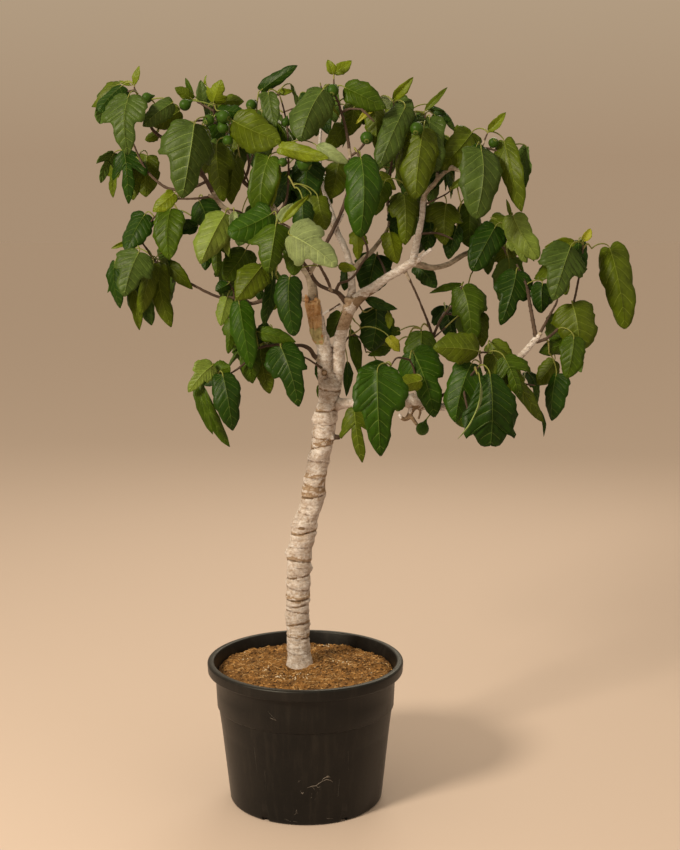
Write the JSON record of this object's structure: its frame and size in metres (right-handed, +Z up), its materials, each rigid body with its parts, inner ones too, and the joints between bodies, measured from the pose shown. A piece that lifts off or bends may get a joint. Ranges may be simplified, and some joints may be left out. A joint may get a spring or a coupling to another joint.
{
  "type": "potted fig tree",
  "caption": "Young fig tree with a bare leaning trunk and an open, spreading crown of large drooping lobed leaves and green figs, standing in a round black nursery pot of soil.",
  "frame": {"origin": "centre of the pot's flat underside, where the pot stands", "axes": "+Z up along the tree; X along the crown's long side, with the trunk leaning toward +X; -Y is the front"},
  "size_m": [1.322, 0.845, 1.86],
  "materials": {
    "pot_plastic": "satin moulded polypropylene, dusty and lightly scratched",
    "potting_mix": "rough brown peat and bark with pale grit",
    "bark": "matt grey-beige fig bark with ring scars",
    "twig": "dark brown young wood",
    "leaf": "green leaf, slightly glossy above",
    "fruit": "unripe green fig skin"
  },
  "bodies": {
    "root": {"pot": "pot_plastic", "soil": "potting_mix", "trunk": "bark", "leader_left": "bark", "leader_right": "bark", "bough_top_left_stem": "bark", "bough_top_left": "bark", "bough_front_left_stem": "bark", "bough_upper_left": "bark", "bough_far_left": "bark", "bough_left_middle": "bark", "bough_left_low_stem": "bark", "bough_left_low": "bark", "bough_back_left": "bark", "bough_crossing": "bark", "bough_top_centre": "bark", "bough_centre": "bark", "bough_centre_right": "bark", "bough_back": "bark", "bough_front": "bark", "bough_right": "bark", "bough_right_upper": "bark", "bough_right_top": "bark", "bough_back_right": "bark", "bough_right_outer": "bark", "bough_right_drop": "bark", "bough_low_right_stem": "bark", "bough_low_right": "bark", "bough_far_right": "bark", "leaves_far_left_top": "leaf", "leaves_left_hanging": "leaf", "leaves_upper_left_front": "leaf", "leaves_top_left": "leaf", "leaves_top_centre_left": "leaf", "leaves_top_centre": "leaf", "leaves_top_centre_right": "leaf", "leaves_top_right_inner": "leaf", "leaves_top_right": "leaf", "leaves_right_upper": "leaf", "leaves_right": "leaf", "leaves_far_right": "leaf", "leaves_far_right_tip": "leaf", "leaves_far_right_low": "leaf", "leaves_right_centre": "leaf", "leaves_low_right_front": "leaf", "leaves_low_right": "leaf", "leaves_low_centre_right": "leaf", "leaves_low_centre": "leaf", "leaves_by_fork": "leaf", "leaves_centre_front": "leaf", "leaves_centre_right": "leaf", "leaves_centre_left": "leaf", "leaves_front": "leaf", "leaves_left_inner": "leaf", "leaves_back_left_low": "leaf", "leaves_left_low_inner": "leaf", "leaves_left_middle": "leaf", "leaves_left_low": "leaf", "leaves_back_left": "leaf", "leaves_back_right": "leaf"}
  },
  "joints": []
}
